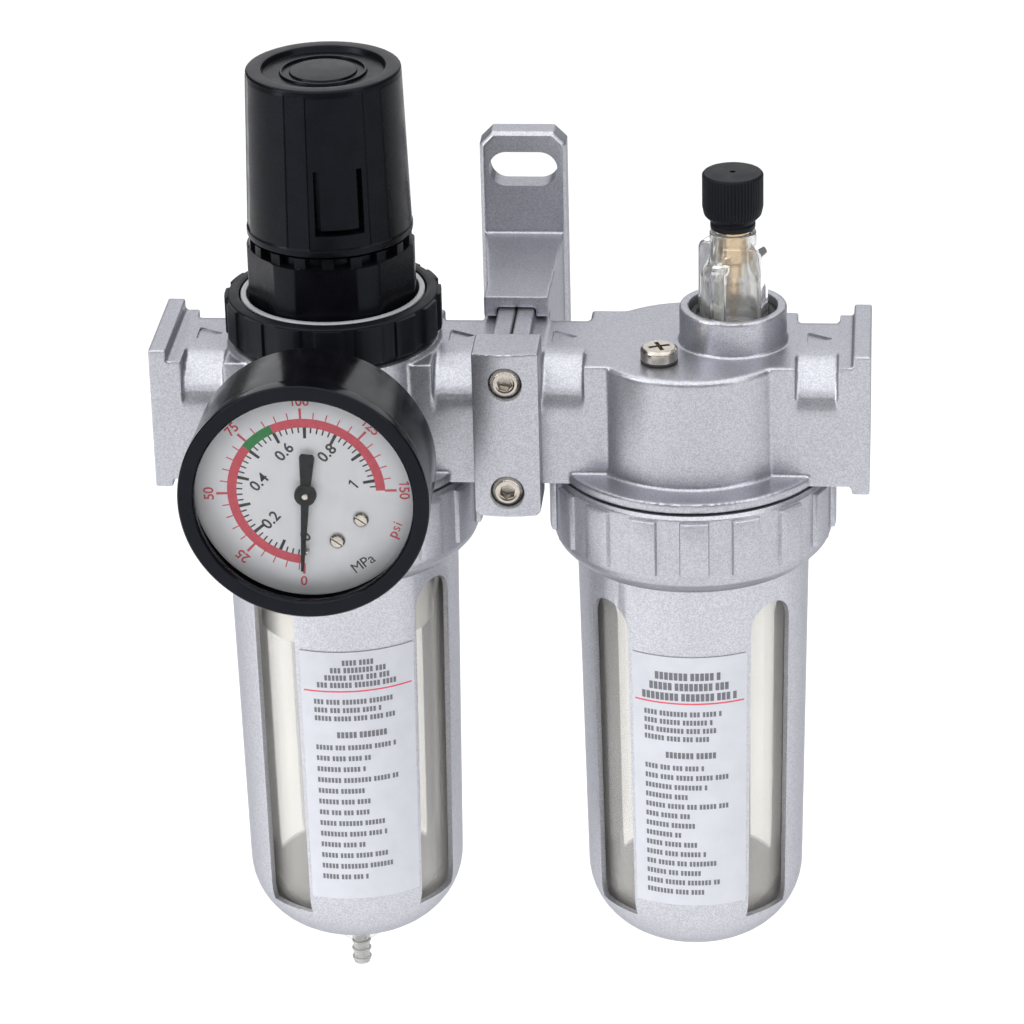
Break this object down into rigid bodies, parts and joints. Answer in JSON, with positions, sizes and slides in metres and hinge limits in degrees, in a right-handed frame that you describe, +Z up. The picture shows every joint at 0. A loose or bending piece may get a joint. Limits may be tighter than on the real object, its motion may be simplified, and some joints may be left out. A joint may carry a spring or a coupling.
{
  "type": "filter regulator lubricator",
  "caption": "Compressed air preparation unit: filter regulator with gauge and oil mist lubricator, each with a guarded clear bowl, clamped together on a wall bracket.",
  "frame": {"origin": "on the wall face of the bracket, at the height of the port axis, on the seam between the two bodies", "axes": "+Z up, +Y out of the back of the bracket into the wall, +X from inlet to outlet along the air line"},
  "size_m": [0.1658, 0.1228, 0.2342],
  "materials": {
    "casting": "satin silver paint",
    "rubber": "matt",
    "nickel": "nickel plated",
    "black_plastic": "satin",
    "steel": "plain",
    "brass": "turned",
    "white_plastic": "matt",
    "black_gloss": "gloss",
    "clear_plastic": "clear",
    "print_white": "printed"
  },
  "bodies": {
    "unit": {"filter_body": "casting", "lubricator_body": "casting", "front_clamp": "casting", "wall_bracket": "casting", "seam_seal": "rubber", "sight_dome_seal": "rubber", "gauge_washer": "rubber", "diaphragm": "rubber", "flow_vane": "rubber", "element_seat": "rubber", "clamp_screw_upper": "nickel", "clamp_screw_lower": "nickel", "dial_screw_inner": "nickel", "dial_screw_outer": "nickel", "gauge_stop_pin": "nickel", "bonnet_ring": "nickel", "bonnet_nut": "black_plastic", "bonnet": "black_plastic", "main_spring": "steel", "valve_spring": "steel", "gauge_movement": "brass", "bourdon_tube": "brass", "gauge_stem": "brass", "valve_guide": "white_plastic", "deflector": "white_plastic", "filter_element": "white_plastic", "element_baffle": "white_plastic", "gauge_case": "black_gloss", "gauge_bezel": "black_gloss", "gauge_lens": "clear_plastic", "sight_dome": "clear_plastic", "siphon_tube": "clear_plastic", "gauge_dial": "print_white"},
    "knob_screw": {"adjusting_screw": "steel"},
    "knob": {"regulator_knob": "black_plastic"},
    "seat": {"spring_seat": "steel"},
    "valve": {"valve_plug": "brass", "diaphragm_plate": "steel"},
    "needle": {"gauge_needle": "black_gloss"},
    "sector": {"gauge_sector": "brass"},
    "filter_bowl_unit": {"filter_bowl": "clear_plastic", "filter_bowl_seal": "rubber", "filter_guard": "casting", "filter_label": "print_white", "drain_collar": "nickel", "drain_spring": "steel"},
    "filter_ring_nut": {"filter_ring": "casting"},
    "drain": {"drain_nipple": "clear_plastic"},
    "lubricator_bowl_unit": {"lubricator_bowl": "clear_plastic", "lubricator_bowl_seal": "rubber", "lubricator_guard": "casting", "lubricator_label": "print_white"},
    "lubricator_ring_nut": {"lubricator_ring": "casting"},
    "drip_needle": {"needle_valve": "brass"},
    "drip_adjuster": {"drip_knob": "black_plastic"},
    "plug_seal": {"fill_plug_seal": "rubber"},
    "plug": {"fill_plug": "nickel"}
  },
  "joints": [
    {"name": "knob_turn", "type": "hinge", "parent": "unit", "child": "knob_screw", "pos_m": [-0.0415, -0.058, 0.07], "axis": [0, 0, -1], "range_deg": [0, 1080]},
    {"name": "knob_lift", "type": "slide", "parent": "knob_screw", "child": "knob", "axis": [0, 0, 1], "range_m": [0, 0.003]},
    {"name": "seat_travel", "type": "slide", "parent": "unit", "child": "seat", "axis": [0, 0, -1], "range_m": [0, 0.006], "deforming": ["main_spring"]},
    {"name": "valve_open", "type": "slide", "parent": "unit", "child": "valve", "axis": [0, 0, -1], "range_m": [0, 0.0015], "stiffness_N_per_m": 1500, "deforming": ["diaphragm", "valve_spring"]},
    {"name": "needle_turn", "type": "hinge", "parent": "unit", "child": "needle", "pos_m": [-0.0415, -0.118, 0.0016], "axis": [0, 1, 0], "range_deg": [0, 264]},
    {"name": "sector_turn", "type": "hinge", "parent": "unit", "child": "sector", "pos_m": [-0.0415, -0.111, -0.0104], "axis": [0, 1, 0], "range_deg": [-55.2, 0]},
    {"name": "filter_bowl_drop", "type": "slide", "parent": "unit", "child": "filter_bowl_unit", "axis": [0, 0, -1], "range_m": [0, 0.115]},
    {"name": "filter_ring_turn", "type": "hinge", "parent": "filter_bowl_unit", "child": "filter_ring_nut", "pos_m": [-0.0415, -0.058, -0.026], "axis": [0, 0, -1], "range_deg": [0, 360]},
    {"name": "drain_push", "type": "slide", "parent": "filter_bowl_unit", "child": "drain", "axis": [0, 0, 1], "range_m": [0, 0.002], "stiffness_N_per_m": 300, "deforming": ["drain_spring"]},
    {"name": "lubricator_bowl_drop", "type": "slide", "parent": "unit", "child": "lubricator_bowl_unit", "axis": [0, 0, -1], "range_m": [0, 0.115]},
    {"name": "lubricator_ring_turn", "type": "hinge", "parent": "lubricator_bowl_unit", "child": "lubricator_ring_nut", "pos_m": [0.0415, -0.058, -0.026], "axis": [0, 0, -1], "range_deg": [0, 360]},
    {"name": "drip_needle_rise", "type": "slide", "parent": "unit", "child": "drip_needle", "axis": [0, 0, 1], "range_m": [0, 0.00141]},
    {"name": "drip_turn", "type": "hinge", "parent": "drip_needle", "child": "drip_adjuster", "pos_m": [0.051, -0.0565, 0.05], "axis": [0, 0, 1], "range_deg": [0, 720]},
    {"name": "plug_lift", "type": "slide", "parent": "unit", "child": "plug_seal", "axis": [0, 0, 1], "range_m": [0, 0.02]},
    {"name": "plug_turn", "type": "hinge", "parent": "plug_seal", "child": "plug", "pos_m": [0.0346, -0.0704, 0.015], "axis": [0, 0, 1], "range_deg": [0, 360]}
  ],
  "couplings": [
    {"joint": "seat_travel", "follows": "knob_turn", "m_per_rad": 0.000318},
    {"joint": "sector_turn", "follows": "needle_turn", "ratio": -0.20833},
    {"joint": "drip_turn", "follows": "drip_needle_rise", "rad_per_m": 8912}
  ]
}
